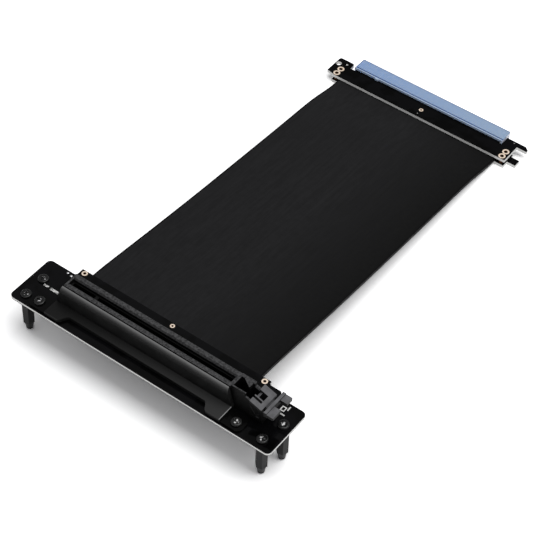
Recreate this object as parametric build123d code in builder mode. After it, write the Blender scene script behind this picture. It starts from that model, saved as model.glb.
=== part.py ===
"""Flat extension cable for an x16 card slot: socket board, ribbon and card-edge plug, in millimetres.

The cable runs along +Y from the socket board to the plug. The origin lies on the floor, under the
middle of the whole object.
"""
from math import radians, tan
import os

from build123d import *

# Card edge standard for x16, shared by the slot and the plug
card_short = 11.65
card_key = 1.9
card_long = 71.65
card_width = card_short + card_key + card_long
pin_pitch = 1.0
pins_before_key = 11
pins_after_key = 71
first_pin_inset = 1.1
pin_step_over_key = 3.0

# Boards
board_thickness = 1.6
board_left_margin = 21.9
board_right_margin = 11.4
socket_depth = 26.4
socket_corner = 2.2
strip_margin = 5.2
strip_reach = 4.5
ledge_width = 6.8
ledge_reach = 2.8
strip_corner = 1.2
sandwich_gap = 2.0
under_board_depth = 11.0

# Standoffs and their screws
standoff_length = 20.0
standoff_flats = 4.8
standoff_left_inset = 5.7
standoff_front_right_inset = 6.7
standoff_rear_right_inset = 4.2
standoff_inset_y = 4.7
standoff_pitch_y = 11.0
standoff_tip_diameter = 3.3
standoff_tip_length = 1.3
standoff_tip_chamfer = 0.6
standoff_cone_length = 3.6
standoff_turn = 12
thread_diameter = 2.9
thread_clearance = 0.1
board_hole_clearance = 0.3
screw_head_diameter = 5.0
screw_head_height = 1.1
screw_head_round = 0.6
cross_length = 2.8
cross_width = 0.8
cross_depth = 0.7
standoff_screw_length = 6.5
standoff_bore_depth = 7.0

# Slot
slot_from_front = 15.5
housing_end_wall = 1.9
housing_width = 8.4
housing_height = 11.25
slot_gap = 1.9
card_clearance = 0.15
key_clearance = 0.1
slot_floor = 2.4
lead_in_end = 0.9
lead_in_width = 4.5
lead_in_depth = 0.8
trough_width = 3.0
trough_depth = 2.0
contact_pocket_half = 2.7
contact_pocket_top = 6.8
contact_pocket_margin = 0.5

# Slot contacts
contact_width = 0.5
contact_thickness = 0.25
contact_leg_offset = 2.3
contact_nose_offset = 0.75
contact_leg_height = 2.4
contact_nose_height = 4.9
contact_tip_height = 6.3
contact_tip_offset = 1.5

# Tower of the slot, which carries the latch
tower_length = 16.8
tower_width = 8.9
tower_wall = 1.65
tower_end_wall = 0.7
tower_floor = 1.4
cheek_full_length = 7.3
cheek_step = 1.8
cheek_end_height = 6.4
cheek_lean = 1.0
cheek_foot_height = 2.0
guide_block_length = 6.6
guide_block_start = 2.1
guide_block_width = 2.6
guide_block_nose = 0.4

# Latch
latch_from_housing = 10.6
latch_clearance = 0.3
latch_heel_height = 5.2
latch_sole = 0.6
latch_toe = 1.7
latch_neck_inset = 1.4
latch_neck_drop = 1.45
latch_neck_lip = 0.7
latch_valley_run = 0.6
latch_valley_depth = 0.7
pivot_from_tower_end = 2.6
pivot_height = 3.0
trunnion_radius = 0.9
trunnion_clearance = 0.1
trunnion_end_gap = 0.3
latch_width_upper = 10.6
latch_plate_thickness = 1.3
latch_plate_length = 6.0
latch_plate_drop = 2.1
latch_channel_width = 3.2
latch_channel_floor = 5.2
latch_channel_wall = 0.6
latch_slit_width = 1.1
latch_off_centre = 0.4
latch_crossbar = 1.9
latch_nose_length = 1.3
latch_nose_height = 1.6
latch_nose_drop = 1.6
latch_nose_slope = 0.6
handle_gap = 2.1
handle_thickness = 1.4
handle_width = 13.4
handle_height = 3.0
lobe_length = 3.3
lobe_thickness = 1.5
lobe_step = 0.5
lobe_gap = 4.1
lobe_gap_off_centre = 0.75
lobe_corner = 0.3
handle_corner = 0.6

# Brace along the front of the slot
brace_gap = 0.3
brace_wall = 1.6
brace_round_height = 3.0
brace_flange = 1.8
brace_flange_reach = 4.1
brace_overhang = 2.6
brace_end_slope = 2.6
brace_wing_reach = 8.3
brace_wing_length = 6.7
brace_step_length = 4.5
brace_tab_thickness = 0.8
brace_tab_length = 9.9
brace_tab_depth = 8.0
brace_tab_corner = 2.6
brace_screw_from_wing = 5.8
brace_screw_from_front = 4.7
brace_screw_length = 6.0
nut_flats = 5.5
nut_height = 2.4

# Eyelets, rivets and plated rings
socket_eyelet_from_ribbon = 2.8
socket_eyelet_outer = 2.8
socket_eyelet_bore = 1.4
eyelet_from_edge = 1.6
rivet_from_ribbon = 2.6
rivet_outer = 3.5
rivet_bore = 1.9
rivet_rows = (1.85, 5.45)
barrel_wall = 0.15
ring_flange = 0.12
ring_outer = 2.2
ring_bore = 1.0
socket_ring_from_edge = 1.6
plug_ring_from_front = 5.0

# Ribbon
ribbon_span = 189.2
ribbon_overhang = 3.5
ribbon_clearance = 0.2
ribbon_overlap = 6.0
sleeve_wall = 0.25
flat_cable_count = 4
flat_cable_gap = 0.3
flat_cable_clearance = 0.1
flat_cable_bare = 2.5
ribbon_entry_length = 5.1
ribbon_exit_length = 6.0
# Bends between those two runs: share of the span and share of the drop
ribbon_bends = ((0.34, 0.378), (0.712, 0.689), (0.876, 0.799))

# Plug boards
plug_shift_x = -0.6
card_edge_shift_x = 0.4
plug_depth = 8.9
plug_left_margin = 7.8
plug_right_margin = 5.1
plug_cut_x = 5.0
plug_cut_y = 1.1
tab_from_tongue = 3.0
tab_reach = 12.8
tab_corner = 1.2
hook_from_tongue = 1.1
hook_reach = 14.5
hook_overhang = 5.4
hook_thickness = 2.9
hook_bevel_x = 2.0
hook_bevel_y = 1.6
tab_hole_from_left = 1.8
tab_hole_from_front = 8.6
tab_hole_diameter = 2.8
pilot_hole_from_left = 5.8
pilot_hole_from_front = 10.1
pilot_hole_diameter = 1.1
tongue_length = 7.5
tongue_bevel = 0.4
key_depth = 7.0
plug_under_left_margin = 4.3
plug_under_right_margin = 4.9
prong_reach = 4.6
prong_start = 3.5
prong_width = 4.1
finger_width = 0.7
finger_length = 4.8
finger_inset = 0.9
finger_thickness = 0.08

# Edge cover
cap_clearance = 0.2
cap_face_clearance = 0.12
cap_side_wall = 0.6
cap_end_wall = 1.1
cap_face_wall = 1.1
cap_front_gap = 0.8
cap_key_clearance = 0.25
cap_groove_width = 0.5
cap_groove_depth = 0.35
cap_rim = 0.8
cap_corner = 0.5
cap_nub = 0.6

# Small lengths for cuts that run past a face and for picking corners
past = 1.0
near = 0.1
arc_share = 0.45

# Levels and lines that follow from the sizes above
under_board_top = board_thickness
plug_board_base = under_board_top + sandwich_gap
plug_board_top = plug_board_base + board_thickness
board_base = standoff_length
board_top = board_base + board_thickness
under_board_base = board_base - sandwich_gap - board_thickness
strip_depth = socket_depth + strip_reach
overall_length = (
    strip_depth + ribbon_span + plug_depth + tongue_length + cap_clearance + cap_end_wall
)
front_y = -overall_length / 2
strip_y = front_y + strip_depth
plug_y = strip_y + ribbon_span
tongue_y = plug_y + plug_depth
tongue_end_y = tongue_y + tongue_length
housing_length = card_width + 2 * housing_end_wall
socket_width = board_left_margin + housing_length + tower_length + board_right_margin
left_x = -socket_width / 2
right_x = socket_width / 2
slot_x = left_x + board_left_margin + housing_length / 2
slot_y = front_y + slot_from_front
plug_x = slot_x + plug_shift_x
ribbon_width = card_width + 2 * ribbon_overhang
strip_half = ribbon_width / 2 + strip_margin
strip_left_x = slot_x - strip_half
strip_right_x = slot_x + strip_half
ledge_x = strip_right_x + ledge_width
plug_left_x = plug_x - ribbon_width / 2 - plug_left_margin
plug_right_x = plug_x + ribbon_width / 2 + plug_right_margin
card_edge_x = plug_x + card_edge_shift_x
tongue_left_x = card_edge_x - card_width / 2
tongue_right_x = card_edge_x + card_width / 2
housing_right = slot_x + housing_length / 2
tower_right = housing_right + tower_length
pivot_x = tower_right - pivot_from_tower_end
pivot_z = board_top + pivot_height
housing_top = board_top + housing_height
standoff_front_y = front_y + standoff_inset_y
standoff_rear_y = standoff_front_y + standoff_pitch_y
standoff_spots = [
    (left_x + standoff_left_inset, standoff_front_y),
    (right_x - standoff_front_right_inset, standoff_front_y),
    (left_x + standoff_left_inset, standoff_rear_y),
    (right_x - standoff_rear_right_inset, standoff_rear_y),
]
brace_half = housing_length / 2 + brace_overhang
brace_screw_offset = brace_half + brace_screw_from_wing
brace_screw_spots = [
    (slot_x - brace_screw_offset, front_y + brace_screw_from_front),
    (slot_x + brace_screw_offset, front_y + brace_screw_from_front),
]
socket_eyelet_offset = ribbon_width / 2 + socket_eyelet_from_ribbon
socket_eyelet_spots = [
    (slot_x - socket_eyelet_offset, strip_y - eyelet_from_edge),
    (slot_x + socket_eyelet_offset, strip_y - eyelet_from_edge),
]
rivet_offset = ribbon_width / 2 + rivet_from_ribbon
rivet_spots = [
    (plug_x + side * rivet_offset, plug_y + row) for side in (-1, 1) for row in rivet_rows
]
socket_ring_spot = (slot_x, strip_y - socket_ring_from_edge)
plug_ring_spot = (plug_x, plug_y + plug_ring_from_front)
screw_hole = thread_diameter + board_hole_clearance

os.makedirs("parts", exist_ok=True)


def save(piece, name):
    """Label a finished piece and write it under its own name."""
    piece.part.label = name
    export_step(piece.part, f"parts/{name}.step")


def pin_positions(centre_x):
    """X of each contact of a card edge whose middle is at centre_x."""
    first = centre_x - card_width / 2 + first_pin_inset
    last_before_key = first + (pins_before_key - 1) * pin_pitch
    short_row = [first + i * pin_pitch for i in range(pins_before_key)]
    long_row = [
        last_before_key + pin_step_over_key + i * pin_pitch for i in range(pins_after_key)
    ]
    return short_row, long_row


slot_short_pins, slot_long_pins = pin_positions(slot_x)
plug_short_pins, plug_long_pins = pin_positions(card_edge_x)

# Socket board: rounded plate with a strip at the rear that carries the ribbon
with BuildPart() as socket_board:
    with BuildSketch(Plane.XY.offset(board_base)) as outline:
        with BuildLine():
            Polyline(
                (left_x, front_y),
                (right_x, front_y),
                (right_x, front_y + socket_depth),
                (ledge_x, front_y + socket_depth),
                (ledge_x, front_y + socket_depth + ledge_reach),
                (strip_right_x, front_y + socket_depth + ledge_reach),
                (strip_right_x, strip_y),
                (strip_left_x, strip_y),
                (strip_left_x, front_y + socket_depth),
                (left_x, front_y + socket_depth),
                close=True,
            )
        make_face()
        by_x = outline.vertices().sort_by(Axis.X)
        fillet(by_x[:2] + by_x[-2:], radius=socket_corner)
        inner = outline.vertices().filter_by_position(
            Axis.X, strip_left_x - near, ledge_x + near
        )
        fillet(
            inner.filter_by_position(Axis.Y, front_y + socket_depth - near, strip_y - near),
            radius=strip_corner,
        )
        with Locations(*standoff_spots, *brace_screw_spots):
            Circle(screw_hole / 2, mode=Mode.SUBTRACT)
        with Locations(*socket_eyelet_spots):
            Circle(socket_eyelet_bore / 2 + barrel_wall, mode=Mode.SUBTRACT)
        with Locations(socket_ring_spot):
            Circle(ring_bore / 2 + barrel_wall, mode=Mode.SUBTRACT)
    extrude(amount=board_thickness)
save(socket_board, "socket_board")

# Board under the strip, which closes the ribbon in from below
with BuildPart() as socket_under_board:
    with BuildSketch(Plane.XY.offset(under_board_base)) as outline:
        with Locations((slot_x, strip_y)):
            Rectangle(2 * strip_half, under_board_depth, align=(Align.CENTER, Align.MAX))
        fillet(outline.vertices(), radius=strip_corner)
        with Locations(*socket_eyelet_spots):
            Circle(socket_eyelet_bore / 2 + barrel_wall, mode=Mode.SUBTRACT)
    extrude(amount=board_thickness)
save(socket_under_board, "socket_under_board")


def eyelet(base_z, top_z, outer, bore):
    """Tube with a flange on the face above and the face below what it joins."""
    with BuildPart() as tube:
        with BuildSketch(Plane.XZ):
            with BuildLine():
                Polyline(
                    (bore / 2, base_z - ring_flange),
                    (outer / 2, base_z - ring_flange),
                    (outer / 2, base_z),
                    (bore / 2 + barrel_wall, base_z),
                    (bore / 2 + barrel_wall, top_z),
                    (outer / 2, top_z),
                    (outer / 2, top_z + ring_flange),
                    (bore / 2, top_z + ring_flange),
                    close=True,
                )
            make_face()
        revolve(axis=Axis.Z)
    return tube.part


socket_eyelet = eyelet(under_board_base, board_top, socket_eyelet_outer, socket_eyelet_bore)
with BuildPart() as socket_eyelets:
    with Locations(*socket_eyelet_spots):
        add(socket_eyelet)
save(socket_eyelets, "socket_eyelets")

socket_ring = eyelet(board_base, board_top, ring_outer, ring_bore)
with BuildPart() as socket_plated_ring:
    with Locations(socket_ring_spot):
        add(socket_ring)
save(socket_plated_ring, "socket_plated_ring")

# Slot housing with its tower
with BuildPart() as slot_housing:
    with BuildSketch(Plane.XY.offset(board_top)):
        with Locations((slot_x, slot_y)):
            Rectangle(housing_length, housing_width)
        with Locations((housing_right, slot_y)):
            Rectangle(tower_length, tower_width, align=(Align.MIN, Align.CENTER))
    extrude(amount=housing_height)
    # Trough over the card gap, with sloped sides that lead the card in
    with BuildSketch(Plane.YZ.offset(slot_x)):
        with BuildLine():
            Polyline(
                (slot_y - lead_in_width / 2, housing_top),
                (slot_y + lead_in_width / 2, housing_top),
                (slot_y + trough_width / 2, housing_top - lead_in_depth),
                (slot_y + trough_width / 2, housing_top - trough_depth),
                (slot_y - trough_width / 2, housing_top - trough_depth),
                (slot_y - trough_width / 2, housing_top - lead_in_depth),
                close=True,
            )
        make_face()
    extrude(amount=card_width / 2 + lead_in_end, both=True, mode=Mode.SUBTRACT)
    # Card gap and contact pockets, either side of the key
    key_x = slot_x - card_width / 2 + card_short + card_key / 2
    key_half = card_key / 2 - key_clearance
    gap_ends = [
        (slot_x - card_width / 2 - card_clearance, key_x - key_half),
        (key_x + key_half, slot_x + card_width / 2 + card_clearance),
    ]
    for start_x, end_x in gap_ends:
        with BuildSketch(Plane.XY.offset(board_top + slot_floor)):
            with Locations((start_x, slot_y)):
                Rectangle(end_x - start_x, slot_gap, align=(Align.MIN, Align.CENTER))
        extrude(amount=housing_height - slot_floor, mode=Mode.SUBTRACT)
    for row in (slot_short_pins, slot_long_pins):
        with BuildSketch(Plane.XY.offset(board_top)):
            for side in (-1, 1):
                pocket_width = contact_pocket_half - slot_gap / 2
                with Locations((row[0] - contact_pocket_margin,
                                slot_y + side * (slot_gap + pocket_width) / 2)):
                    Rectangle(
                        row[-1] - row[0] + 2 * contact_pocket_margin,
                        pocket_width,
                        align=(Align.MIN, Align.CENTER),
                    )
        extrude(amount=contact_pocket_top, mode=Mode.SUBTRACT)
    # Open bay of the tower
    bay_half = tower_width / 2 - tower_wall
    with BuildSketch(Plane.XY.offset(board_top + tower_floor)):
        with Locations((housing_right + tower_end_wall, slot_y)):
            Rectangle(tower_length, 2 * bay_half, align=(Align.MIN, Align.CENTER))
        bay_rear_y = slot_y + bay_half
        guide_right = housing_right + guide_block_length
        with BuildLine():
            Polyline(
                (housing_right + guide_block_start, bay_rear_y),
                (guide_right - guide_block_nose, bay_rear_y - guide_block_width),
                (guide_right, bay_rear_y - guide_block_width),
                (guide_right, bay_rear_y),
                close=True,
            )
        make_face(mode=Mode.SUBTRACT)
    extrude(amount=housing_height, mode=Mode.SUBTRACT)
    # Cheeks step down and slope away under the latch
    step_x = housing_right + cheek_full_length
    with BuildSketch(Plane.XZ.offset(-slot_y)):
        with BuildLine():
            Polyline(
                (step_x, housing_top + past),
                (step_x, housing_top - cheek_step),
                (tower_right, board_top + cheek_end_height),
                (tower_right + past, board_top + cheek_end_height),
                (tower_right + past, housing_top + past),
                close=True,
            )
        make_face()
    extrude(amount=tower_width, both=True, mode=Mode.SUBTRACT)
    # The front cheek leans in above its foot
    tower_front_y = slot_y - tower_width / 2
    with BuildSketch(Plane.YZ.offset(housing_right)):
        with BuildLine():
            Polyline(
                (tower_front_y, board_top + cheek_foot_height),
                (tower_front_y + cheek_lean, housing_top),
                (tower_front_y, housing_top),
                close=True,
            )
        make_face()
    extrude(amount=tower_length, mode=Mode.SUBTRACT)
    # Bores for the latch's trunnions
    with BuildSketch(Plane.XZ.offset(-slot_y)):
        with Locations((pivot_x, pivot_z)):
            Circle(trunnion_radius + trunnion_clearance)
    extrude(amount=tower_width, both=True, mode=Mode.SUBTRACT)
save(slot_housing, "slot_housing")


def contact_row(side, name):
    """One row of bent slot contacts, standing on the board."""
    leg = contact_leg_offset
    nose = contact_nose_offset
    tip = contact_tip_offset
    half = contact_thickness / 2
    with BuildPart() as one:
        with BuildSketch(Plane.YZ.offset(-contact_width / 2)):
            with BuildLine():
                Polyline(
                    (side * (leg + half), 0),
                    (side * (leg + half), contact_leg_height),
                    (side * (nose + half), contact_nose_height),
                    (side * (tip + half), contact_tip_height),
                    (side * (tip - half), contact_tip_height),
                    (side * (nose - half), contact_nose_height),
                    (side * (leg - half), contact_leg_height),
                    (side * (leg - half), 0),
                    close=True,
                )
            make_face()
        extrude(amount=contact_width)
    with BuildPart() as row:
        with Locations(*[(x, slot_y, board_top) for x in slot_short_pins + slot_long_pins]):
            add(one.part)
    save(row, name)


contact_row(-1, "slot_contacts_front")
contact_row(1, "slot_contacts_rear")

# Retention latch: lever between the cheeks, plates over them and a two-lobed handle
latch_left = housing_right + latch_from_housing
latch_core_half = bay_half - latch_clearance
plate_right = latch_left + latch_plate_length
handle_left = plate_right + handle_gap
handle_right = handle_left + handle_thickness
crossbar_left = plate_right - latch_crossbar
valley_z = housing_top - latch_plate_drop - latch_valley_depth
nose_top = housing_top - latch_nose_drop
nose_right = latch_left + latch_nose_length
latch_middle_y = slot_y + latch_off_centre
with BuildPart() as slot_latch:
    # Core, seen from the front
    with BuildSketch(Plane.XZ.offset(-slot_y)):
        with BuildLine():
            Polyline(
                (latch_left, housing_top),
                (latch_left, board_top + latch_heel_height),
                (pivot_x - latch_sole, board_top + tower_floor + latch_clearance),
                (pivot_x + latch_sole, board_top + tower_floor + latch_clearance),
                (pivot_x + latch_toe, pivot_z),
                (handle_left - latch_neck_inset, valley_z - latch_neck_drop),
                (handle_right, housing_top - handle_height + latch_neck_lip),
                (handle_right, housing_top),
                (handle_left, housing_top),
                (handle_left - latch_valley_run, housing_top - latch_plate_drop),
                (plate_right + latch_valley_run, valley_z),
                (plate_right, housing_top - latch_plate_drop),
                close=True,
            )
        make_face()
    extrude(amount=latch_core_half, both=True)
    # Plates that reach out over the cheeks
    with BuildSketch(Plane.XZ.offset(-slot_y)):
        with BuildLine():
            Polyline(
                (latch_left, housing_top),
                (latch_left, housing_top - latch_plate_thickness),
                (plate_right, housing_top - latch_plate_drop - latch_plate_thickness),
                (plate_right, housing_top - latch_plate_drop),
                close=True,
            )
        make_face()
    extrude(amount=latch_width_upper / 2, both=True)
    # Channel, and a slit between it and the front plate
    slit_rear_y = latch_middle_y - latch_channel_width / 2 - latch_channel_wall
    with BuildSketch(Plane.XY.offset(housing_top - latch_plate_drop - 2 * latch_plate_thickness)):
        with Locations((crossbar_left, slit_rear_y)):
            Rectangle(latch_plate_length, latch_slit_width, align=(Align.MAX, Align.MAX))
    extrude(amount=housing_height, mode=Mode.SUBTRACT)
    with BuildSketch(Plane.XY.offset(board_top + latch_channel_floor)):
        with Locations((crossbar_left, latch_middle_y)):
            Rectangle(latch_plate_length, latch_channel_width, align=(Align.MAX, Align.CENTER))
    extrude(amount=housing_height, mode=Mode.SUBTRACT)
    # Nose that holds the card's notch
    with BuildSketch(Plane.XZ.offset(-latch_middle_y)):
        with BuildLine():
            Polyline(
                (latch_left, nose_top - latch_nose_slope),
                (nose_right, nose_top),
                (nose_right, nose_top - latch_nose_height),
                (latch_left, nose_top - latch_nose_height),
                close=True,
            )
        make_face()
    extrude(amount=latch_channel_width / 2, both=True)
    # Handle: upright bar and two lobes
    with BuildSketch(Plane.YZ.offset(handle_left)) as bar:
        with Locations((slot_y, housing_top)):
            Rectangle(handle_width, handle_height, align=(Align.CENTER, Align.MAX))
        fillet(bar.vertices().group_by(Axis.Y)[0], radius=handle_corner)
    extrude(amount=handle_thickness)
    with BuildSketch(Plane.XY.offset(housing_top - lobe_step - lobe_thickness)) as lobes:
        with Locations((handle_left, slot_y)):
            Rectangle(
                handle_thickness + lobe_length, handle_width, align=(Align.MIN, Align.CENTER)
            )
        with Locations((handle_left, slot_y + lobe_gap_off_centre)):
            Rectangle(
                handle_thickness + lobe_length,
                lobe_gap,
                align=(Align.MIN, Align.CENTER),
                mode=Mode.SUBTRACT,
            )
        fillet(lobes.vertices().group_by(Axis.X)[-1], radius=lobe_corner)
    extrude(amount=lobe_thickness)
    # Trunnions
    with BuildSketch(Plane.XZ.offset(-slot_y)):
        with Locations((pivot_x, pivot_z)):
            Circle(trunnion_radius)
    extrude(amount=tower_width / 2 - trunnion_end_gap, both=True)
save(slot_latch, "slot_latch")

# Brace: upright wall with a rounded top on a flange, with a wing and a screw tab at each end
brace_rear_y = slot_y - tower_width / 2 - brace_gap
brace_front_y = brace_rear_y - brace_wall
flange_front_y = brace_front_y - brace_flange_reach
with BuildPart() as slot_brace:
    round_base = housing_top - brace_round_height
    with BuildSketch(Plane.YZ.offset(slot_x)):
        with BuildLine():
            EllipticalCenterArc(
                (brace_rear_y, round_base),
                brace_wall,
                brace_round_height,
                start_angle=90,
                arc_size=90,
            )
            Polyline(
                (brace_front_y, round_base),
                (brace_front_y, board_top + brace_flange),
                (flange_front_y, board_top + brace_flange),
                (flange_front_y, board_top),
                (brace_rear_y, board_top),
                (brace_rear_y, housing_top),
            )
        make_face()
    extrude(amount=brace_half, both=True)
    # Ends of the wall lean inwards
    for side in (-1, 1):
        with BuildSketch(Plane.XZ.offset(-brace_rear_y - past)):
            with BuildLine():
                Polyline(
                    (slot_x + side * brace_half, board_top + brace_flange),
                    (slot_x + side * (brace_half - brace_end_slope), housing_top),
                    (slot_x + side * (brace_half - brace_end_slope), housing_top + past),
                    (slot_x + side * (brace_half + past), housing_top + past),
                    (slot_x + side * (brace_half + past), board_top + brace_flange),
                    close=True,
                )
            make_face()
        extrude(amount=brace_wall + brace_flange_reach + 2 * past, mode=Mode.SUBTRACT)
    # Wings at both ends, each with an S-shaped step at its inner side
    wing_front_y = brace_front_y - brace_wing_reach
    for side in (-1, 1):
        wing_outer = slot_x + side * brace_half
        wing_inner = slot_x + side * (brace_half - brace_wing_length)
        step_inner = slot_x + side * (brace_half - brace_wing_length - brace_step_length)
        step_mid = (wing_inner + step_inner) / 2
        with BuildSketch(Plane.XY.offset(board_top)):
            with BuildLine():
                Line((step_inner, brace_front_y), (step_inner, flange_front_y))
                Bezier(
                    (step_inner, flange_front_y),
                    (step_mid, flange_front_y),
                    (step_mid, wing_front_y),
                    (wing_inner, wing_front_y),
                )
                Polyline(
                    (wing_inner, wing_front_y),
                    (wing_outer, wing_front_y),
                    (wing_outer, brace_front_y),
                    (step_inner, brace_front_y),
                )
            make_face()
        extrude(amount=brace_flange)
        with BuildSketch(Plane.XY.offset(board_top)) as tab:
            with Locations((wing_outer, wing_front_y)):
                tab_align = Align.MIN if side > 0 else Align.MAX
                Rectangle(brace_tab_length, brace_tab_depth, align=(tab_align, Align.MIN))
            outer_group = tab.vertices().group_by(Axis.X)[-1 if side > 0 else 0]
            fillet(outer_group, radius=brace_tab_corner)
        extrude(amount=brace_tab_thickness)
    with BuildSketch(Plane.XY.offset(board_top)):
        with Locations(*brace_screw_spots):
            Circle(screw_hole / 2)
    extrude(amount=brace_flange, mode=Mode.SUBTRACT)
save(slot_brace, "slot_brace")


def screw(head_z, length):
    """Pan head screw with a cross recess, its head resting at head_z."""
    with BuildPart() as body:
        with BuildSketch(Plane.XY.offset(head_z)):
            Circle(screw_head_diameter / 2)
        extrude(amount=screw_head_height)
        fillet(body.edges().group_by(Axis.Z)[-1], radius=screw_head_round)
        with BuildSketch(Plane.XY.offset(head_z)):
            Circle(thread_diameter / 2)
        extrude(amount=-length)
        with BuildSketch(Plane.XY.offset(head_z + screw_head_height)):
            Rectangle(cross_length, cross_width)
            Rectangle(cross_width, cross_length)
        extrude(amount=-cross_depth, mode=Mode.SUBTRACT)
    return body.part


# Hex standoffs with a coned tip, and the screws that hold the board to them
standoff_names = ("front_left", "front_right", "rear_left", "rear_right")
board_screw = screw(board_top, standoff_screw_length)
for spot, where in zip(standoff_spots, standoff_names):
    with BuildPart() as standoff:
        with BuildSketch(Plane.XY.offset(board_base)):
            with Locations(spot):
                RegularPolygon(standoff_flats / 2, 6, major_radius=False, rotation=standoff_turn)
        extrude(amount=-(standoff_length - standoff_tip_length - standoff_cone_length))
        cone_top = standoff_tip_length + standoff_cone_length
        with BuildSketch(Plane.XY.offset(cone_top)):
            with Locations(spot):
                Circle(standoff_flats / 2)
        with BuildSketch(Plane.XY.offset(standoff_tip_length)):
            with Locations(spot):
                Circle(standoff_tip_diameter / 2)
        loft()
        with BuildSketch(Plane.XY.offset(standoff_tip_length)):
            with Locations(spot):
                Circle(standoff_tip_diameter / 2)
        extrude(amount=-standoff_tip_length)
        chamfer(standoff.edges().group_by(Axis.Z)[0], length=standoff_tip_chamfer)
        with BuildSketch(Plane.XY.offset(board_base)):
            with Locations(spot):
                Circle((thread_diameter + thread_clearance) / 2)
        extrude(amount=-standoff_bore_depth, mode=Mode.SUBTRACT)
    save(standoff, f"standoff_{where}")
    with BuildPart() as standoff_screw:
        with Locations(spot):
            add(board_screw)
    save(standoff_screw, f"standoff_screw_{where}")

# Screws and nuts of the brace
tab_screw = screw(board_top + brace_tab_thickness, brace_screw_length)
for spot, where in zip(brace_screw_spots, ("left", "right")):
    with BuildPart() as brace_screw:
        with Locations(spot):
            add(tab_screw)
    save(brace_screw, f"brace_screw_{where}")
    with BuildPart() as brace_nut:
        with BuildSketch(Plane.XY.offset(board_base)):
            with Locations(spot):
                RegularPolygon(nut_flats / 2, 6, major_radius=False)
                Circle((thread_diameter + thread_clearance) / 2, mode=Mode.SUBTRACT)
        extrude(amount=-nut_height)
    save(brace_nut, f"brace_nut_{where}")

# Ribbon: one course in the YZ plane, from the socket's gap down to the plug's gap
ribbon_thickness = sandwich_gap - 2 * ribbon_clearance
socket_gap_z = board_base - sandwich_gap / 2
plug_gap_z = under_board_top + sandwich_gap / 2


def corner_radius(before, corner, after):
    """Radius of an arc that takes a set share of the shorter run beside a corner."""
    run_in = Vector(*corner) - Vector(*before)
    run_out = Vector(*after) - Vector(*corner)
    turn = radians(run_in.get_angle(run_out))
    return arc_share * min(run_in.length, run_out.length) / tan(turn / 2)


def ribbon_course(start_y, end_y):
    """Points and corner radii of the ribbon's middle line, between two ends in the gaps."""
    drop = socket_gap_z - plug_gap_z
    points = [(start_y, socket_gap_z), (strip_y + ribbon_entry_length, socket_gap_z)]
    points += [
        (strip_y + along * ribbon_span, socket_gap_z - share * drop)
        for along, share in ribbon_bends
    ]
    points += [(plug_y - ribbon_exit_length, plug_gap_z), (end_y, plug_gap_z)]
    radii = [corner_radius(*points[i - 1:i + 2]) for i in range(1, len(points) - 1)]
    return points, radii


def ribbon_solid(thickness, width, centre_x, overlap):
    """A flat strip of the given section along the ribbon's course."""
    points, radii = ribbon_course(strip_y - overlap, plug_y + overlap)
    with BuildPart() as strip:
        with BuildSketch(Plane.YZ.offset(centre_x)):
            with BuildLine():
                FilletPolyline(*points, radius=radii)
            trace(line_width=thickness)
        extrude(amount=width / 2, both=True)
    return strip.part


sleeve_outside = ribbon_solid(ribbon_thickness, ribbon_width, plug_x, ribbon_overlap)
sleeve_inside = ribbon_solid(
    ribbon_thickness - 2 * sleeve_wall,
    ribbon_width - 2 * sleeve_wall,
    plug_x,
    ribbon_overlap,
)
with BuildPart() as ribbon_sleeve:
    add(sleeve_outside)
    add(sleeve_inside, mode=Mode.SUBTRACT)
save(ribbon_sleeve, "ribbon_sleeve")

flat_cable_room = ribbon_width - 2 * sleeve_wall - (flat_cable_count + 1) * flat_cable_gap
flat_cable_width = flat_cable_room / flat_cable_count
flat_cable_thickness = ribbon_thickness - 2 * sleeve_wall - 2 * flat_cable_clearance
for i in range(flat_cable_count):
    offset_x = (i - (flat_cable_count - 1) / 2) * (flat_cable_width + flat_cable_gap)
    with BuildPart() as flat_cable:
        add(
            ribbon_solid(
                flat_cable_thickness,
                flat_cable_width,
                plug_x + offset_x,
                ribbon_overlap + flat_cable_bare,
            )
        )
    save(flat_cable, f"flat_cable_{i + 1}")

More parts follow.
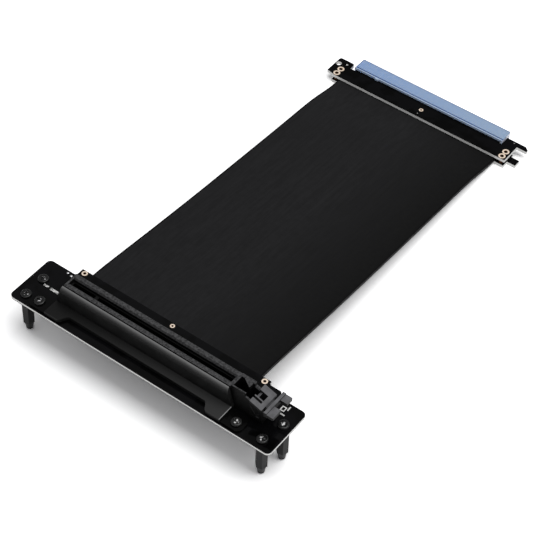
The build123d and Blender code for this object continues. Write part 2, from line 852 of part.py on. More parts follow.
# Plug board with the card edge, the screw tab and the hook
hook_y = plug_y + hook_reach
hook_tip_x = plug_right_x + hook_overhang
plug_key_x = tongue_left_x + card_short + card_key / 2
with BuildPart() as plug_board:
    with BuildSketch(Plane.XY.offset(plug_board_base)) as outline:
        with BuildLine():
            Polyline(
                (plug_left_x + plug_cut_x, plug_y),
                (plug_right_x, plug_y),
                (plug_right_x, hook_y - hook_thickness),
                (hook_tip_x, hook_y - hook_thickness),
                (hook_tip_x, hook_y - hook_bevel_y),
                (hook_tip_x - hook_bevel_x, hook_y),
                (tongue_right_x + hook_from_tongue, hook_y),
                (tongue_right_x + hook_from_tongue, tongue_y),
                (tongue_right_x, tongue_y),
                (tongue_right_x, tongue_end_y),
                (tongue_left_x, tongue_end_y),
                (tongue_left_x, tongue_y),
                (tongue_left_x - tab_from_tongue, tongue_y),
                (tongue_left_x - tab_from_tongue, plug_y + tab_reach),
                (plug_left_x, plug_y + tab_reach),
                (plug_left_x, plug_y + plug_cut_y),
                close=True,
            )
        make_face()
        tab_ends = outline.vertices().filter_by_position(
            Axis.Y, plug_y + tab_reach - near, plug_y + tab_reach + near
        )
        fillet(tab_ends, radius=tab_corner)
        with Locations((plug_key_x, tongue_end_y)):
            Rectangle(
                card_key,
                key_depth,
                align=(Align.CENTER, Align.MAX),
                mode=Mode.SUBTRACT,
            )
        with Locations((plug_left_x + tab_hole_from_left, plug_y + tab_hole_from_front)):
            Circle(tab_hole_diameter / 2, mode=Mode.SUBTRACT)
        with Locations((plug_left_x + pilot_hole_from_left, plug_y + pilot_hole_from_front)):
            Circle(pilot_hole_diameter / 2, mode=Mode.SUBTRACT)
        with Locations(*rivet_spots):
            Circle(rivet_bore / 2 + barrel_wall, mode=Mode.SUBTRACT)
        with Locations(plug_ring_spot):
            Circle(ring_bore / 2 + barrel_wall, mode=Mode.SUBTRACT)
    extrude(amount=board_thickness)
    tongue_edges = plug_board.edges().filter_by(Axis.X).filter_by_position(
        Axis.Y, tongue_end_y - near, tongue_end_y + near
    )
    chamfer(tongue_edges, length=tongue_bevel)
save(plug_board, "plug_board")

# Board under the plug, with a short prong at its right end
under_left_x = plug_x - ribbon_width / 2 - plug_under_left_margin
under_right_x = plug_x + ribbon_width / 2 + plug_under_right_margin
with BuildPart() as plug_under_board:
    with BuildSketch():
        with Locations((under_left_x, plug_y)):
            Rectangle(under_right_x - under_left_x, plug_depth, align=(Align.MIN, Align.MIN))
        with Locations((under_right_x, plug_y + prong_start)):
            Rectangle(prong_reach, prong_width, align=(Align.MIN, Align.MIN))
        with Locations(*rivet_spots):
            Circle(rivet_bore / 2 + barrel_wall, mode=Mode.SUBTRACT)
    extrude(amount=board_thickness)
save(plug_under_board, "plug_under_board")

# Tubular rivets that join the plug's boards; below, they end level with the board
with BuildPart() as plug_rivet:
    with BuildSketch(Plane.XZ):
        with BuildLine():
            Polyline(
                (rivet_bore / 2, 0),
                (rivet_bore / 2 + barrel_wall, 0),
                (rivet_bore / 2 + barrel_wall, plug_board_top),
                (rivet_outer / 2, plug_board_top),
                (rivet_outer / 2, plug_board_top + ring_flange),
                (rivet_bore / 2, plug_board_top + ring_flange),
                close=True,
            )
        make_face()
    revolve(axis=Axis.Z)
with BuildPart() as plug_rivets:
    with Locations(*rivet_spots):
        add(plug_rivet.part)
save(plug_rivets, "plug_rivets")

plug_ring = eyelet(plug_board_base, plug_board_top, ring_outer, ring_bore)
with BuildPart() as plug_plated_ring:
    with Locations(plug_ring_spot):
        add(plug_ring)
save(plug_plated_ring, "plug_plated_ring")

# Gold contacts on both faces of the card edge
finger_y = tongue_end_y - finger_inset
for base_z, name in (
    (plug_board_top, "edge_contacts_top"),
    (plug_board_base - finger_thickness, "edge_contacts_bottom"),
):
    with BuildPart() as fingers:
        with BuildSketch(Plane.XY.offset(base_z)):
            with Locations(*[(x, finger_y) for x in plug_short_pins + plug_long_pins]):
                Rectangle(finger_width, finger_length, align=(Align.CENTER, Align.MAX))
        extrude(amount=finger_thickness)
    save(fingers, name)

# Edge cover: a shallow box pushed over the card edge, with a rib in the key notch
cap_half = card_width / 2 + cap_clearance + cap_side_wall
cap_front_y = tongue_y + cap_front_gap
cap_rear_y = tongue_end_y + cap_clearance + cap_end_wall
cap_room = finger_thickness + cap_face_clearance
cap_top_z = plug_board_top + cap_room + cap_face_wall
cap_base_z = plug_board_base - cap_room - cap_face_wall
with BuildPart() as edge_cover:
    with BuildSketch(Plane.XY.offset(cap_base_z)) as outline:
        with Locations((card_edge_x, cap_front_y)):
            Rectangle(2 * cap_half, cap_rear_y - cap_front_y, align=(Align.CENTER, Align.MIN))
        fillet(outline.vertices().group_by(Axis.Y)[-1], radius=cap_corner)
    extrude(amount=cap_top_z - cap_base_z)
    with BuildSketch(Plane.XY.offset(plug_board_base - cap_room)):
        with Locations((card_edge_x, cap_front_y)):
            Rectangle(
                card_width + 2 * cap_clearance,
                cap_rear_y - cap_end_wall - cap_front_y,
                align=(Align.CENTER, Align.MIN),
            )
        with Locations((plug_key_x, cap_rear_y)):
            Rectangle(
                card_key - 2 * cap_key_clearance,
                cap_end_wall + key_depth - cap_key_clearance,
                align=(Align.CENTER, Align.MAX),
                mode=Mode.SUBTRACT,
            )
    extrude(amount=board_thickness + 2 * cap_room, mode=Mode.SUBTRACT)
    # Groove behind the front rim, on both faces
    for face_z, depth in ((cap_top_z, -cap_groove_depth), (cap_base_z, cap_groove_depth)):
        with BuildSketch(Plane.XY.offset(face_z)):
            with Locations((card_edge_x, cap_front_y + cap_rim)):
                Rectangle(
                    2 * cap_half - 2 * cap_side_wall,
                    cap_groove_width,
                    align=(Align.CENTER, Align.MIN),
                )
        extrude(amount=depth, mode=Mode.SUBTRACT)
    # Nub on the front rim that marks the key
    with BuildSketch(Plane.XY.offset(plug_board_top + cap_room)):
        with Locations((plug_key_x, cap_front_y)):
            Rectangle(card_key, cap_nub, align=(Align.CENTER, Align.MAX))
    extrude(amount=cap_face_wall)
save(edge_cover, "edge_cover")
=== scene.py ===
"""Looks of the PCIe extension cable: finishes, small board details, light and camera."""

import math

import bmesh
import bpy
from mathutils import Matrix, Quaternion, Vector


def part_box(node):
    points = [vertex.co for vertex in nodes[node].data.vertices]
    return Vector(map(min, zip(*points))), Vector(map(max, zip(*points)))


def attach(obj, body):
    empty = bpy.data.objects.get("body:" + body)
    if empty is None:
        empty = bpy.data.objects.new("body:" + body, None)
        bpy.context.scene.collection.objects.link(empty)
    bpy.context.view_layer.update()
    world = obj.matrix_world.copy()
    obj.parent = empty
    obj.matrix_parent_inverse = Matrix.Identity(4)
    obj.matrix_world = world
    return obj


MM = 0.001

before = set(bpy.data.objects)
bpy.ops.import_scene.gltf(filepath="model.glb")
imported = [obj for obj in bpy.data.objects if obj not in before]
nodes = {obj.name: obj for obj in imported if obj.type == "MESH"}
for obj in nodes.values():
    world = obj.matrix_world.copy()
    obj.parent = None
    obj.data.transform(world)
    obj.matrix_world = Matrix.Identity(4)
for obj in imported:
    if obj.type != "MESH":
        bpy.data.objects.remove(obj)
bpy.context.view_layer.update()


def grey(value, tint=1.0):
    """A linear grey whose blue is scaled by the tint."""
    return (value, value, value * tint, 1)


# Camera, solved from the photograph's edges
CAMERA_PLACE = Vector((0.30587214, -0.46179013, 0.58396944))
CAMERA_FORWARD = Vector((-0.38582634, 0.55478343, -0.73712508))
CAMERA_ROLL = math.radians(2.4356)
CAMERA_LENS = 115.4866
CAMERA_NEAR = 0.01
CAMERA_FAR = 20

# Floor and light
FLOOR_HALF = 3.0
FLOOR_COLOUR = grey(0.86)
FLOOR_SEEN_COLOUR = grey(1.7)
WORLD_COLOUR = (0.4, 0.4, 0.405, 1)
KEY_PLACE = Vector((0.42, 0.17, 1.1))
KEY_WIDTH = 1.3
KEY_DEPTH = 0.95
KEY_POWER = 9.5

# Small rounded edges
MOULDED_EDGE = 0.15 * MM
BOARD_EDGE = 0.08 * MM
EDGE_SEGMENTS = 2
EDGE_ANGLE = math.radians(40)
WELD_DISTANCE = 0.001 * MM

# Printed marks, as plain bars, an empty frame and dots, each a box in millimetres: X from, X to,
# Y from, Y to
INK_HEIGHT = 0.02 * MM
INK_CORNER = 0.15 * MM
CORNER_STEPS = 4
LEFT_MARKS = ((-61.8, -59.0, -105.7, -104.7), (-58.1, -53.3, -106.0, -104.7))
RIGHT_BARS = ((60.2, 62.8, -99.4, -98.7), (61.9, 62.5, -96.2, -93.9))
RIGHT_FRAME = (59.2, 61.4, -97.7, -95.1)
RIGHT_FRAME_LINE = 0.5
PLUG_DOTS = ((44.8, 45.3, 114.15, 114.65), (-4.15, -3.8, 103.0, 103.35))

# Solder spots: their centres in millimetres, and the low dome of each
SOLDER_SPOTS = ((-58.0, -93.8), (-55.7, -94.3))
SOLDER_RADIUS = 0.55 * MM
SOLDER_HEIGHT = 0.18 * MM
SOLDER_ROWS = 5
SOLDER_SIDES = 20

# Boards: depth of the black skin at the cut edge, specular level of the mask
BOARDS = {
    "socket_board": (0.3 * MM, 0.1),
    "socket_under_board": (0.1 * MM, 0.1),
    "plug_board": (0.06 * MM, 0.04),
    "plug_under_board": (0.1 * MM, 0.04),
}

# Slot: depth below its top from which painted shade keeps its inside black
SLOT_SHADE_DEPTH = 1.2 * MM

# Brace: length of its end plates, width of the painted highlight along the edge beside the right
# one, and height above its foot from which its upward faces take a painted highlight
PLATE_LENGTH = 9.9 * MM
EDGE_HIGHLIGHT_WIDTH = 0.35 * MM
BRACE_HIGHLIGHT_HEIGHT = 3 * MM

# Screws: radius of the cross recess, and the depths between which its worn metal shows, painted
# bright as glints
RECESS_RADIUS = 1.3 * MM
RECESS_DEPTHS = (0.12 * MM, 2 * MM)

# Ribbon: width of the fold along each side that painted shade darkens
RIBBON_FOLD_WIDTH = 0.7 * MM

# Cover: its groove behind the front rim, which painted shade fills, the width of the painted shade
# line at its rear and left edges, the pitch of the contacts that show through it, and how strongly
# the contacts and a fine cloud show
COVER_GROOVE = (1.15 * MM, 1.8 * MM)
COVER_EDGE_SHADE_WIDTH = 0.4 * MM
CONTACT_PITCH = 1 * MM
STRIPE_SHARE = 0.4
CLOUD_SHARE = 0.4

# Limits between which the values of a noise texture mostly lie
NOISE_LIMITS = (0.3, 0.7)

# Numbers of a Mix node's colour sockets: its factor, its two colours and its result
MIX_FACTOR, MIX_FIRST, MIX_SECOND, MIX_RESULT = 0, 6, 7, 2

# Colours of the boards and of what is printed and soldered on them
MASK = grey(0.0014, 1.05)
MASK_ON_COPPER = grey(0.003, 1.15)
BOARD_SKIN = grey(0.01)
GLASS_FIBRE = ((0.88, 0.88, 0.86, 1), (0.97, 0.97, 0.95, 1))
INK = grey(0.8, 0.98)
TIN = (grey(0.75, 1.02), grey(0.9, 1.02))

# Colours of the metal pieces; a pair is a surface's two tones
CONTACT_GOLD = ((0.83, 0.6, 0.25, 1), (0.72, 0.5, 0.2, 1))
# Painted shade: the slot contacts' gold is painted dark, as they lie in the slot's shade
GOLD_PAINTED_SHADE = ((0.05, 0.035, 0.015, 1), (0.08, 0.055, 0.02, 1))
RING_GOLD = ((1.0, 0.86, 0.72, 1), (0.94, 0.75, 0.57, 1))
# Painted shade: dark brown on the upright walls of the rings' holes
RING_BORE_SHADE = (0.12, 0.045, 0.015, 1)
STANDOFF_BLACK = (grey(0.005, 1.1), grey(0.01, 1.1))
NUT_BLACK = (grey(0.008), grey(0.014))
SCREW_BLACK = (grey(0.002), grey(0.005))
# Painted glints: worn metal in the screws' recesses, painted bright
SCREW_GLINT = grey(0.95)
BRACE_BLACK = (grey(0.007), grey(0.013))
# Painted light: the brace's low upward faces, lighter towards the right
BRACE_LIGHT_RAMP = (grey(0.006), grey(0.038))
# Painted highlight on the brace's rounded top
BRACE_HIGHLIGHT = grey(0.18)
BRACE_PLATE = grey(0.002)
# Painted highlight along the edge beside the right end plate
BRACE_EDGE_HIGHLIGHT = grey(0.3)

# Colours of the mouldings, the ribbon and the cover
SLOT_BLACK = (grey(0.012, 1.03), grey(0.085, 1.03))
# Painted shade: the slot's upright walls are painted darker than its top
SLOT_WALL_SHADE = grey(0.004)
# Painted shade: near black inside the slot, below its top
SLOT_INSIDE_SHADE = grey(0.001)
LATCH_GREY = (grey(0.09, 1.05), grey(0.15, 1.05))
# Painted shade: the latch's upright walls are painted darker than its top
LATCH_WALL_SHADE = grey(0.01)
CABLE_BLACK = (grey(0.008), grey(0.013))
RIBBON_CHARCOAL = (grey(0.0105, 1.06), grey(0.0155, 1.06))
# Painted shade: the ribbon darkens towards its right edge
RIBBON_RIGHT_SHADE = grey(0.004)
# Painted shade along the folds at the ribbon's sides
RIBBON_FOLD_SHADE = grey(0.0005)
COVER_BLUE = ((0.22, 0.42, 0.84, 1), (0.31, 0.48, 0.75, 1))
COVER_CLOUD = (0.6, 0.7, 0.82, 1)
COVER_CONTACT = (0.7, 0.76, 0.8, 1)
# Painted shade in the cover's groove
COVER_GROOVE_SHADE = (0.03, 0.09, 0.34, 1)
# Painted light on the cover's front rim
COVER_RIM_LIGHT = (0.62, 0.77, 0.98, 1)
# Painted shade along the cover's rear and left edges
COVER_EDGE_SHADE = (0.16, 0.22, 0.4, 1)
# Painted light on the cover's right end
COVER_END_LIGHT = (0.8, 0.83, 0.95, 1)


def set_inputs(node, values):
    """Set a node's inputs by name, with underscores for spaces."""
    for key, value in values.items():
        node.inputs[key.replace("_", " ")].default_value = value


class Finish:
    """A material and its shader, with helpers that add and join nodes."""

    def __init__(self, name, **values):
        self.material = bpy.data.materials.new(name)
        self.material.use_nodes = True
        self.tree = self.material.node_tree
        self.shader = self.tree.nodes["Principled BSDF"]
        set_inputs(self.shader, values)
        self.place = self.add("ShaderNodeTexCoord").outputs["Object"]

    def add(self, kind, **values):
        node = self.tree.nodes.new(kind)
        set_inputs(node, values)
        return node

    def feed(self, value, target):
        """Give an input a constant, or join a node's output to it."""
        if isinstance(value, (int, float, tuple)):
            target.default_value = value
        else:
            self.tree.links.new(value, target)

    def paint(self, colour):
        self.feed(colour, self.shader.inputs["Base Color"])

    def roughness(self, value):
        self.feed(value, self.shader.inputs["Roughness"])

    def bump(self, height, strength, distance):
        bump = self.add("ShaderNodeBump", Strength=strength, Distance=distance)
        self.feed(height, bump.inputs["Height"])
        self.feed(bump.outputs["Normal"], self.shader.inputs["Normal"])

    def math(self, operation, first, second=0.0):
        node = self.add("ShaderNodeMath")
        node.operation = operation
        self.feed(first, node.inputs[0])
        self.feed(second, node.inputs[1])
        return node.outputs["Value"]

    def blend(self, factor, first, second):
        """The first colour where the factor is 0, the second where it is 1."""
        node = self.add("ShaderNodeMix")
        node.data_type = "RGBA"
        self.feed(factor, node.inputs[MIX_FACTOR])
        self.feed(first, node.inputs[MIX_FIRST])
        self.feed(second, node.inputs[MIX_SECOND])
        return node.outputs[MIX_RESULT]

    def span(self, value, low, high, start=0.0, end=1.0):
        """From low to high while the value goes from start to end."""
        span = self.add(
            "ShaderNodeMapRange", From_Min=start, From_Max=end, To_Min=low, To_Max=high
        )
        self.feed(value, span.inputs["Value"])
        return span.outputs["Result"]

    def within(self, value, low, high):
        """1 where the value lies between two limits, else 0."""
        above = self.math("GREATER_THAN", value, low)
        return self.math("MULTIPLY", above, self.math("LESS_THAN", value, high))

    def distance(self, value, middle):
        return self.math("ABSOLUTE", self.math("SUBTRACT", value, middle))

    def parts(self, vector):
        """X, Y and Z of a vector."""
        split = self.add("ShaderNodeSeparateXYZ")
        self.feed(vector, split.inputs[0])
        return split.outputs

    def facing(self, axis):
        """How far the surface faces along an axis, from -1 to 1."""
        return self.parts(self.add("ShaderNodeNewGeometry").outputs["Normal"])[axis]

    def level(self, share):
        """1 where the surface faces up or down by more than a share, else 0."""
        return self.math("GREATER_THAN", self.math("ABSOLUTE", self.facing("Z")), share)

    def stretched(self, scale):
        mapping = self.add("ShaderNodeMapping", Scale=scale)
        self.feed(self.place, mapping.inputs["Vector"])
        return mapping.outputs["Vector"]

    def noise(self, scale, detail, place=None):
        noise = self.add("ShaderNodeTexNoise", Scale=scale, Detail=detail)
        self.feed(place or self.place, noise.inputs["Vector"])
        return noise.outputs["Fac"]

    def mottle(self, scale, detail, limits=NOISE_LIMITS):
        """Noise from 0 to 1, in harder patches the closer its two limits are."""
        return self.span(self.noise(scale, detail), 0, 1, *limits)

    def uneven_roughness(self, scale, detail, low, high):
        self.roughness(self.span(self.noise(scale, detail), low, high, *NOISE_LIMITS))

    def grain(self, scale, strength, distance, detail=2):
        self.bump(self.noise(scale, detail), strength, distance)


def moulded(name, tones, rough, grain, specular, wall_shade=None, inside=None, speckle=350):
    """Moulded plastic: a slow change of tone and a fine spark-eroded grain.

    Upright walls take a darker colour: painted shade, as the light falls from above. Inside is a
    box in the form (from Y, to Y, below Z), a slot that painted shade keeps black.
    """
    finish = Finish(name, Specular_IOR_Level=specular)
    tone = finish.blend(finish.mottle(speckle, 5), *tones)
    # Painted shade: upright faces blend to the darker colour
    if wall_shade:
        tone = finish.blend(finish.span(finish.facing("Z"), 0, 1, 0.35, 0.85), wall_shade, tone)
    # Painted shade: the slot's inside below its top is painted near black
    if inside:
        from_y, to_y, below_z = inside
        place = finish.parts(finish.place)
        low = finish.math("LESS_THAN", place["Z"], below_z)
        inside_shade = finish.math("MULTIPLY", low, finish.within(place["Y"], from_y, to_y))
        tone = finish.blend(inside_shade, tone, SLOT_INSIDE_SHADE)
    finish.paint(tone)
    finish.uneven_roughness(1500, 3, rough - 0.06, rough + 0.08)
    finish.grain(5200, grain, 0.06 * MM, detail=3)
    return finish


def board_finish(name, low, high, rim_depth, specular):
    """Gloss black solder mask over faint copper, with the bare glass-fibre core at cut edges."""
    finish = Finish(name, Specular_IOR_Level=specular)
    copper = finish.mottle(90, 2, (0.42, 0.5))
    mask = finish.blend(copper, MASK, MASK_ON_COPPER)
    depth = finish.distance(finish.parts(finish.place)["Z"], (low + high) / 2)
    skin = finish.math("GREATER_THAN", depth, (high - low) / 2 - rim_depth)
    fibres = finish.noise(500, 4, finish.stretched((1, 1, 9)))
    core = finish.blend(finish.span(fibres, 0, 1, 0.35, 0.65), *GLASS_FIBRE)
    flat = finish.level(0.7)
    finish.paint(finish.blend(flat, finish.blend(skin, core, BOARD_SKIN), mask))
    finish.roughness(finish.span(flat, 0.55, 0.09))
    finish.bump(copper, 0.25, 0.02 * MM)
    return finish


def ribbon_finish(name):
    """Matte jacket with fine lines along it and a faint mottle; painted shade on its right half and
    folds.
    """
    low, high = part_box("ribbon_sleeve")
    finish = Finish(name, Specular_IOR_Level=0.08)
    lines = finish.noise(900, 3, finish.stretched((1, 0.02, 1)))
    mottle = finish.noise(420, 4)
    halves = [finish.math("MULTIPLY", noise, 0.5) for noise in (lines, mottle)]
    both = finish.math("ADD", *halves)
    tone = finish.blend(finish.span(both, 0, 1, 0.38, 0.62), *RIBBON_CHARCOAL)
    across = finish.parts(finish.place)["X"]
    # Painted shade: darker towards the right edge
    right_shade = finish.span(across, 0, 1, (low.x + high.x) / 2, high.x)
    tone = finish.blend(right_shade, tone, RIBBON_RIGHT_SHADE)
    # Painted shade: the folds along each side are painted near black
    open_face = finish.within(across, low.x + RIBBON_FOLD_WIDTH, high.x - RIBBON_FOLD_WIDTH)
    finish.paint(finish.blend(open_face, RIBBON_FOLD_SHADE, tone))
    finish.roughness(finish.span(mottle, 0.5, 0.7, *NOISE_LIMITS))
    finish.bump(both, 0.3, 0.05 * MM)
    return finish


def plated(name, tones, rough, metallic=1.0, bore_shade=None):
    """Gold plating with slight tarnish; its upright walls can take a darker colour, painted shade.
    """
    finish = Finish(name, Metallic=metallic)
    tone = finish.blend(finish.mottle(1200, 4, (0.35, 0.65)), *tones)
    if bore_shade:
        # Painted shade: upright faces take the darker colour
        tone = finish.blend(finish.level(0.5), bore_shade, tone)
    finish.paint(tone)
    finish.uneven_roughness(2600, 2, rough - 0.06, rough + 0.1)
    finish.grain(4200, 0.15, 0.02 * MM)
    return finish


def coated_metal(name, tones, rough, peel, specular):
    """Black coated metal with a light orange peel."""
    finish = Finish(name, Specular_IOR_Level=specular)
    finish.paint(finish.blend(finish.mottle(260, 4), *tones))
    finish.uneven_roughness(1800, 3, rough - 0.05, rough + 0.07)
    finish.grain(2400, peel, 0.05 * MM)
    return finish


def brace_finish(name):
    """Black coated metal, glossy on its end plates, with painted light on its upward faces and
    right edge.
    """
    low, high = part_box("slot_brace")
    finish = Finish(name, Specular_IOR_Level=0.1)
    place = finish.parts(finish.place)
    # Painted light on upward faces: a painted highlight on the raised top, lighter low faces
    upward = finish.span(finish.facing("Z"), 0, 1, 0.25, 0.92)
    raised = finish.span(place["Z"], 0, 1, low.z + BRACE_HIGHLIGHT_HEIGHT, high.z)
    # Painted light: low upward faces lighten from left to right
    flat = finish.blend(finish.span(place["X"], 0, 1, low.x, high.x), *BRACE_LIGHT_RAMP)
    tone = finish.blend(finish.mottle(260, 4), *BRACE_BLACK)
    tone = finish.blend(upward, tone, finish.blend(raised, flat, BRACE_HIGHLIGHT))
    plate_start = high.x - PLATE_LENGTH
    from_middle = finish.distance(place["X"], (low.x + high.x) / 2)
    plate = finish.math("GREATER_THAN", from_middle, (high.x - low.x) / 2 - PLATE_LENGTH)
    tone = finish.blend(plate, tone, BRACE_PLATE)
    # Painted highlight: a thin bright line on the upward faces beside the right plate
    edge = finish.within(place["X"], plate_start - EDGE_HIGHLIGHT_WIDTH, plate_start)
    finish.paint(finish.blend(finish.math("MULTIPLY", edge, upward), tone, BRACE_EDGE_HIGHLIGHT))
    finish.roughness(finish.span(plate, 0.42, 0.16))
    finish.grain(2400, 0.3, 0.05 * MM)
    return finish


def screw_finish(name, low, high):
    """Black plated screw with painted glints: worn metal in its cross recess painted bright."""
    finish = Finish(name, Specular_IOR_Level=0.45)
    place = finish.parts(finish.place)
    across, along = (
        finish.math("POWER", finish.math("SUBTRACT", place[axis], middle), 2.0)
        for axis, middle in (("X", (low.x + high.x) / 2), ("Y", (low.y + high.y) / 2))
    )
    from_axis = finish.math("SQRT", finish.math("ADD", across, along))
    top, bottom = (high.z - depth for depth in RECESS_DEPTHS)
    recess = finish.math(
        "MULTIPLY",
        finish.math("LESS_THAN", from_axis, RECESS_RADIUS),
        finish.within(place["Z"], bottom, top),
    )
    # Painted glints: bright spots of worn metal in the recess
    spots = finish.math("MULTIPLY", recess, finish.mottle(700, 1, (0.46, 0.52)))
    tone = finish.blend(finish.mottle(260, 4), *SCREW_BLACK)
    finish.paint(finish.blend(spots, tone, SCREW_GLINT))
    finish.uneven_roughness(1800, 3, 0.17, 0.29)
    finish.grain(2400, 0.15, 0.05 * MM)
    return finish


def cover_finish(name):
    """Clear blue plastic over the edge contacts; painted light on its front rim and right end,
    painted shade in its groove and at its rear and left edges.
    """
    low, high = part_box("edge_cover")
    finish = Finish(name, Specular_IOR_Level=0.5, Transmission_Weight=0.3, IOR=1.3)
    place = finish.parts(finish.place)
    body = finish.blend(finish.span(place["X"], 0, 1, low.x, high.x), *COVER_BLUE)
    cloud = finish.span(finish.noise(1100, 3), 0, CLOUD_SHARE, 0.4, 0.65)
    body = finish.blend(cloud, body, COVER_CLOUD)
    along = finish.math("SUBTRACT", place["Y"], low.y)
    wave = finish.math("SINE", finish.math("MULTIPLY", place["X"], 2 * math.pi / CONTACT_PITCH))
    contacts = finish.math(
        "MULTIPLY",
        finish.span(wave, 0, STRIPE_SHARE, -1, 1),
        finish.within(along, COVER_GROOVE[1], high.y - low.y),
    )
    body = finish.blend(contacts, body, COVER_CONTACT)
    # Painted shade: the groove is painted dark blue
    body = finish.blend(finish.within(along, *COVER_GROOVE), body, COVER_GROOVE_SHADE)
    # Painted light: the front rim is painted pale and bright
    body = finish.blend(finish.math("LESS_THAN", along, COVER_GROOVE[0]), body, COVER_RIM_LIGHT)
    # Painted shade: dark lines along the rear and left edges
    outline = finish.math(
        "MAXIMUM",
        finish.math("GREATER_THAN", place["Y"], high.y - COVER_EDGE_SHADE_WIDTH),
        finish.math("LESS_THAN", place["X"], low.x + COVER_EDGE_SHADE_WIDTH),
    )
    body = finish.blend(outline, body, COVER_EDGE_SHADE)
    # Painted light: faces turned to the right are painted pale
    lit_right_end = finish.math("GREATER_THAN", finish.facing("X"), 0.7)
    finish.paint(finish.blend(lit_right_end, body, COVER_END_LIGHT))
    finish.uneven_roughness(900, 2, 0.1, 0.2)
    finish.bump(finish.noise(260, 3, finish.stretched((1, 0.15, 1))), 0.15, 0.05 * MM)
    return finish


def ink_finish(name, thin):
    """White screen-printing ink, greyer where it is thin."""
    finish = Finish(name, Specular_IOR_Level=0.3)
    finish.paint(finish.blend(finish.mottle(1700, 3, (0.42, 0.56)), grey(thin, 0.98), INK))
    finish.uneven_roughness(4000, 2, 0.5, 0.7)
    finish.grain(6000, 0.2, 0.01 * MM)
    return finish


def solder_finish(name):
    """Bright tin solder, slightly wavy."""
    finish = Finish(name, Metallic=1.0)
    finish.paint(finish.blend(finish.mottle(1500, 3), *TIN))
    finish.uneven_roughness(2500, 2, 0.25, 0.4)
    finish.grain(3000, 0.2, 0.02 * MM)
    return finish


def dress(finish, *names):
    """Give CAD nodes a finish."""
    for name in names:
        slots = nodes[name].data.materials
        slots.clear()
        slots.append(finish.material)


def dress_boards():
    for name, (rim_depth, specular) in BOARDS.items():
        low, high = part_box(name)
        dress(board_finish(f"mask_{name}", low.z, high.z, rim_depth, specular), name)


def dress_slot():
    # The box inside the slot that painted shade keeps black
    inside = (
        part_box("slot_contacts_front")[0].y,
        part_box("slot_contacts_rear")[1].y,
        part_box("slot_housing")[1].z - SLOT_SHADE_DEPTH,
    )
    slot = moulded(
        "slot_plastic", SLOT_BLACK, rough=0.5, grain=0.5, specular=0.15,
        wall_shade=SLOT_WALL_SHADE, inside=inside, speckle=1300,
    )
    dress(slot, "slot_housing")
    latch = moulded(
        "latch_plastic", LATCH_GREY, rough=0.45, grain=0.4, specular=0.2, wall_shade=LATCH_WALL_SHADE
    )
    dress(latch, "slot_latch")
    dress(brace_finish("brace_black"), "slot_brace")


def dress_gold():
    edge = plated("contact_gold", CONTACT_GOLD, rough=0.28)
    dress(edge, "edge_contacts_top", "edge_contacts_bottom")
    # Painted shade: the slot contacts are dressed in darkened gold
    slot_contact_shade = plated("contact_painted_shade", GOLD_PAINTED_SHADE, rough=0.4)
    dress(slot_contact_shade, "slot_contacts_front", "slot_contacts_rear")
    ring = plated("ring_gold", RING_GOLD, rough=0.4, metallic=0.35, bore_shade=RING_BORE_SHADE)
    dress(ring, "socket_eyelets", "socket_plated_ring", "plug_rivets", "plug_plated_ring")


def dress_fasteners():
    corners = ("front_left", "front_right", "rear_left", "rear_right")
    standoff = coated_metal("standoff_black", STANDOFF_BLACK, rough=0.32, peel=0.2, specular=0.12)
    dress(standoff, *(f"standoff_{corner}" for corner in corners))
    nut = coated_metal("nut_black", NUT_BLACK, rough=0.22, peel=0.15, specular=0.45)
    dress(nut, "brace_nut_left", "brace_nut_right")
    screws = [f"standoff_screw_{corner}" for corner in corners]
    for name in screws + ["brace_screw_left", "brace_screw_right"]:
        dress(screw_finish(f"coat_{name}", *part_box(name)), name)


def dress_ribbon():
    dress(ribbon_finish("ribbon_charcoal"), "ribbon_sleeve")
    flat_cable = moulded("cable_black", CABLE_BLACK, rough=0.5, grain=0.3, specular=0.25)
    dress(flat_cable, *(f"flat_cable_{number}" for number in (1, 2, 3, 4)))


def soften(width, *names):
    """Small rounded edges that catch the light."""
    for name in names:
        weld = nodes[name].modifiers.new("weld", "WELD")
        weld.merge_threshold = WELD_DISTANCE
        bevel = nodes[name].modifiers.new("bevel", "BEVEL")
        bevel.width = width
        bevel.segments = EDGE_SEGMENTS
        bevel.limit_method = "ANGLE"
        bevel.angle_limit = EDGE_ANGLE
        bevel.harden_normals = True


def new_piece(name, body, finish, fill):
    """A mesh piece at the origin that rides with a body; fill draws it into a bmesh."""
    shape = bmesh.new()
    fill(shape)
    bmesh.ops.recalc_face_normals(shape, faces=shape.faces)
    mesh = bpy.data.meshes.new(name)
    shape.to_mesh(mesh)
    shape.free()
    mesh.materials.append(finish.material)
    piece = bpy.data.objects.new(name, mesh)
    bpy.context.scene.collection.objects.link(piece)
    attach(piece, body)


def rounded(box):
    """Outline of a box in millimetres with rounded corners, counter-clockwise, in metres."""
    left, right, front, rear = (value * MM for value in box)
    points = []
    for x, y, turn in (
        (right - INK_CORNER, front + INK_CORNER, -90),
        (right - INK_CORNER, rear - INK_CORNER, 0),
        (left + INK_CORNER, rear - INK_CORNER, 90),
        (left + INK_CORNER, front + INK_CORNER, 180),
    ):
        for step in range(CORNER_STEPS + 1):
            angle = math.radians(turn + 90 * step / CORNER_STEPS)
            points.append((x + INK_CORNER * math.cos(angle), y + INK_CORNER * math.sin(angle)))
    return points


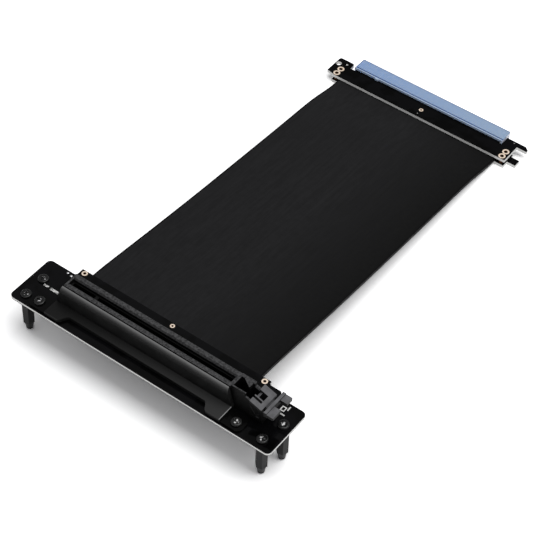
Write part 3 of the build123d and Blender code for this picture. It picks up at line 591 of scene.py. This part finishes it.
def print_box(shape, box, base, hole=None):
    """A thin printed box on a board, solid or as a frame around a hole."""

    def rings(outline):
        heights = (base, base + INK_HEIGHT)
        return [[shape.verts.new((x, y, z)) for x, y in rounded(outline)] for z in heights]

    bottom, top = rings(box)
    count = len(bottom)
    for i in range(count):
        j = (i + 1) % count
        shape.faces.new((bottom[i], bottom[j], top[j], top[i]))
    if hole is None:
        shape.faces.new(top)
        shape.faces.new(reversed(bottom))
        return
    inner_bottom, inner_top = rings(hole)
    for i in range(count):
        j = (i + 1) % count
        shape.faces.new((inner_bottom[j], inner_bottom[i], inner_top[i], inner_top[j]))
        shape.faces.new((top[i], top[j], inner_top[j], inner_top[i]))
        shape.faces.new((bottom[j], bottom[i], inner_bottom[i], inner_bottom[j]))


def print_marks():
    """The boards' printed texts, signs and dots, as plain bars, an empty frame and two spots."""
    socket_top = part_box("socket_board")[1].z
    plug_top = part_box("plug_board")[1].z

    def fill_left(shape):
        for box in LEFT_MARKS:
            print_box(shape, box, socket_top)

    def fill_right(shape):
        for box in RIGHT_BARS:
            print_box(shape, box, socket_top)
        left, right, front, rear = RIGHT_FRAME
        line = RIGHT_FRAME_LINE
        hole = (left + line, right - line, front + line, rear - line)
        print_box(shape, RIGHT_FRAME, socket_top, hole)

    def fill_plug(shape):
        for box in PLUG_DOTS:
            print_box(shape, box, plug_top)

    new_piece("marks_left", "cable", ink_finish("thin_ink", 0.03), fill_left)
    new_piece("marks_right", "cable", ink_finish("full_ink", 0.55), fill_right)
    new_piece("marks_plug", "cable", ink_finish("dot_ink", 0.25), fill_plug)


def solder_spots():
    """Two small tinned points beside the slot's end, each a low dome."""
    board_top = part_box("socket_board")[1].z

    def ring(shape, centre, row):
        rise = 0.5 * math.pi * row / SOLDER_ROWS
        radius = SOLDER_RADIUS * math.cos(rise)
        height = board_top + SOLDER_HEIGHT * math.sin(rise)
        points = []
        for side in range(SOLDER_SIDES):
            turn = 2 * math.pi * side / SOLDER_SIDES
            x = centre[0] * MM + radius * math.cos(turn)
            y = centre[1] * MM + radius * math.sin(turn)
            points.append(shape.verts.new((x, y, height)))
        return points

    def fill(shape):
        for centre in SOLDER_SPOTS:
            rings = [ring(shape, centre, row) for row in range(SOLDER_ROWS)]
            for low, high in zip(rings, rings[1:]):
                for i in range(SOLDER_SIDES):
                    j = (i + 1) % SOLDER_SIDES
                    shape.faces.new((low[i], low[j], high[j], high[i]))
            shape.faces.new(rings[-1])
            shape.faces.new(reversed(rings[0]))

    new_piece("solder_spots", "cable", solder_finish("tin_solder"), fill)


def floor_material():
    """Matte white that looks brighter when seen than the light that it sends back."""
    material = bpy.data.materials.new("floor_white")
    material.use_nodes = True
    tree = material.node_tree
    tree.nodes.clear()
    path = tree.nodes.new("ShaderNodeLightPath")
    seen = path.outputs["Is Camera Ray"]
    for kind in ("Is Glossy Ray", "Is Transmission Ray"):
        larger = tree.nodes.new("ShaderNodeMath")
        larger.operation = "MAXIMUM"
        tree.links.new(seen, larger.inputs[0])
        tree.links.new(path.outputs[kind], larger.inputs[1])
        seen = larger.outputs["Value"]
    mix = tree.nodes.new("ShaderNodeMix")
    mix.data_type = "RGBA"
    mix.inputs[MIX_FIRST].default_value = FLOOR_COLOUR
    mix.inputs[MIX_SECOND].default_value = FLOOR_SEEN_COLOUR
    tree.links.new(seen, mix.inputs[MIX_FACTOR])
    diffuse = tree.nodes.new("ShaderNodeBsdfDiffuse")
    tree.links.new(mix.outputs[MIX_RESULT], diffuse.inputs["Color"])
    output = tree.nodes.new("ShaderNodeOutputMaterial")
    tree.links.new(diffuse.outputs["BSDF"], output.inputs["Surface"])
    return material


def make_floor():
    mesh = bpy.data.meshes.new("floor")
    signs = ((-1, -1), (1, -1), (1, 1), (-1, 1))
    mesh.from_pydata([(FLOOR_HALF * x, FLOOR_HALF * y, 0) for x, y in signs], [], [(0, 1, 2, 3)])
    mesh.materials.append(floor_material())
    floor = bpy.data.objects.new("floor", mesh)
    bpy.context.scene.collection.objects.link(floor)


def make_lights():
    world = bpy.data.worlds.new("studio")
    world.use_nodes = True
    set_inputs(world.node_tree.nodes["Background"], {"Color": WORLD_COLOUR})
    bpy.context.scene.world = world
    key = bpy.data.lights.new("key", "AREA")
    key.shape = "RECTANGLE"
    key.size = KEY_WIDTH
    key.size_y = KEY_DEPTH
    key.energy = KEY_POWER
    lamp = bpy.data.objects.new("key", key)
    lamp.location = KEY_PLACE
    bpy.context.scene.collection.objects.link(lamp)


def make_camera():
    camera = bpy.data.objects.new("camera", bpy.data.cameras.new("camera"))
    camera.data.lens = CAMERA_LENS
    camera.data.clip_start = CAMERA_NEAR
    camera.data.clip_end = CAMERA_FAR
    camera.location = CAMERA_PLACE
    camera.rotation_mode = "QUATERNION"
    upright = CAMERA_FORWARD.to_track_quat("-Z", "Y")
    camera.rotation_quaternion = upright @ Quaternion((0, 0, 1), CAMERA_ROLL)
    bpy.context.scene.collection.objects.link(camera)
    bpy.context.scene.camera = camera


dress_boards()
dress_slot()
dress_gold()
dress_fasteners()
dress_ribbon()
dress(cover_finish("cover_blue"), "edge_cover")
soften(MOULDED_EDGE, "slot_housing", "slot_brace", "slot_latch")
soften(BOARD_EDGE, "socket_board", "plug_board")
print_marks()
solder_spots()
make_floor()
make_lights()
make_camera()
bpy.context.scene.view_settings.view_transform = "Standard"
